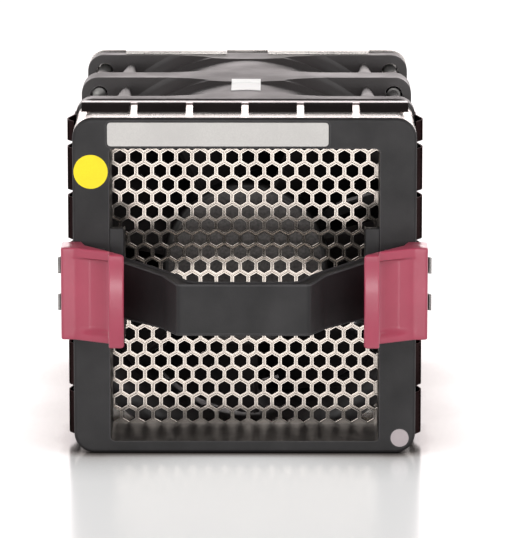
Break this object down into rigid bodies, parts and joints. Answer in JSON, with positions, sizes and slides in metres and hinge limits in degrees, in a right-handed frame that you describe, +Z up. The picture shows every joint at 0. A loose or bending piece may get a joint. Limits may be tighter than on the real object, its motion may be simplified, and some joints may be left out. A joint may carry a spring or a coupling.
{
  "type": "server fan module",
  "caption": "Hot-swap server fan module: two square axial fans in line behind a hexagon-grille bezel with a strap handle, squeeze latches and a spring-finger collar.",
  "frame": {"origin": "centre of the bounding box, on the level the module stands on", "axes": "+X to the right and -Y out of the bezel as seen from the front, +Y along the fan axis towards the rear connector, +Z up"},
  "size_m": [0.0868, 0.142, 0.0821],
  "materials": {
    "bezel_black": "satin moulded",
    "latch_burgundy": "satin gloss",
    "nickel_sheet": "bright nickel",
    "spring_metal": "bright rolled",
    "steel": "bright",
    "fan_black": "satin moulded",
    "label_silver": "matt foil",
    "sticker_yellow": "matt paper",
    "sticker_white": "matt paper",
    "lens_grey": "frosted",
    "board_green": "solder mask",
    "magnet_grey": "bonded ferrite",
    "brass": "turned",
    "copper": "enamelled wire",
    "contact_gold": "gold plated"
  },
  "bodies": {
    "chassis": {"bezel": "bezel_black", "collar": "nickel_sheet", "collar_nuts": "steel", "collar_screws": "steel", "connector_contacts": "contact_gold", "connector_screws": "steel", "fan_label": "sticker_white", "front_bearing_tube": "brass", "front_bearings": "steel", "front_circuit_board": "board_green", "front_frame": "fan_black", "front_stator": "steel", "front_windings": "copper", "gasket_bottom": "spring_metal", "gasket_left": "spring_metal", "gasket_right": "spring_metal", "gasket_top": "spring_metal", "grille_screws": "steel", "handle": "bezel_black", "handle_screws": "steel", "hex_grille": "nickel_sheet", "label_plate": "label_silver", "latch_pin_left": "steel", "latch_pin_right": "steel", "latch_spring_left": "spring_metal", "latch_spring_right": "spring_metal", "led_board": "board_green", "light_pipe": "lens_grey", "long_screws": "steel", "rear_bearing_tube": "brass", "rear_bearings": "steel", "rear_cap": "nickel_sheet", "rear_circuit_board": "board_green", "rear_connector": "fan_black", "rear_frame": "fan_black", "rear_stator": "steel", "rear_windings": "copper", "round_sticker": "sticker_yellow"},
    "front_rotor": {"front_impeller": "fan_black", "front_rotor_yoke": "steel", "front_magnet_ring": "magnet_grey", "front_shaft": "steel", "front_retaining_clip": "spring_metal"},
    "rear_rotor": {"rear_impeller": "fan_black", "rear_rotor_yoke": "steel", "rear_magnet_ring": "magnet_grey", "rear_shaft": "steel", "rear_retaining_clip": "spring_metal"},
    "left_latch": {"latch_left": "latch_burgundy", "latch_hook_left": "steel"},
    "right_latch": {"latch_right": "latch_burgundy", "latch_hook_right": "steel"}
  },
  "joints": [
    {"name": "front_fan_spin", "type": "hinge", "parent": "chassis", "child": "front_rotor", "pos_m": [0, 0.0024, 0.0409], "axis": [0, 1, 0], "continuous": true},
    {"name": "rear_fan_spin", "type": "hinge", "parent": "chassis", "child": "rear_rotor", "pos_m": [0, 0.0404, 0.0409], "axis": [0, 1, 0], "continuous": true},
    {"name": "left_latch_squeeze", "type": "hinge", "parent": "chassis", "child": "left_latch", "pos_m": [-0.0349, -0.0267, 0.0409], "axis": [0, 0, 1], "range_deg": [0, 9], "stiffness_Nm_per_rad": 0.3, "springref_deg": -11.46, "deforming": ["latch_spring_left"]},
    {"name": "right_latch_squeeze", "type": "hinge", "parent": "chassis", "child": "right_latch", "pos_m": [0.0349, -0.0267, 0.0409], "axis": [0, 0, -1], "range_deg": [0, 9], "stiffness_Nm_per_rad": 0.3, "springref_deg": -11.46, "deforming": ["latch_spring_right"]}
  ]
}
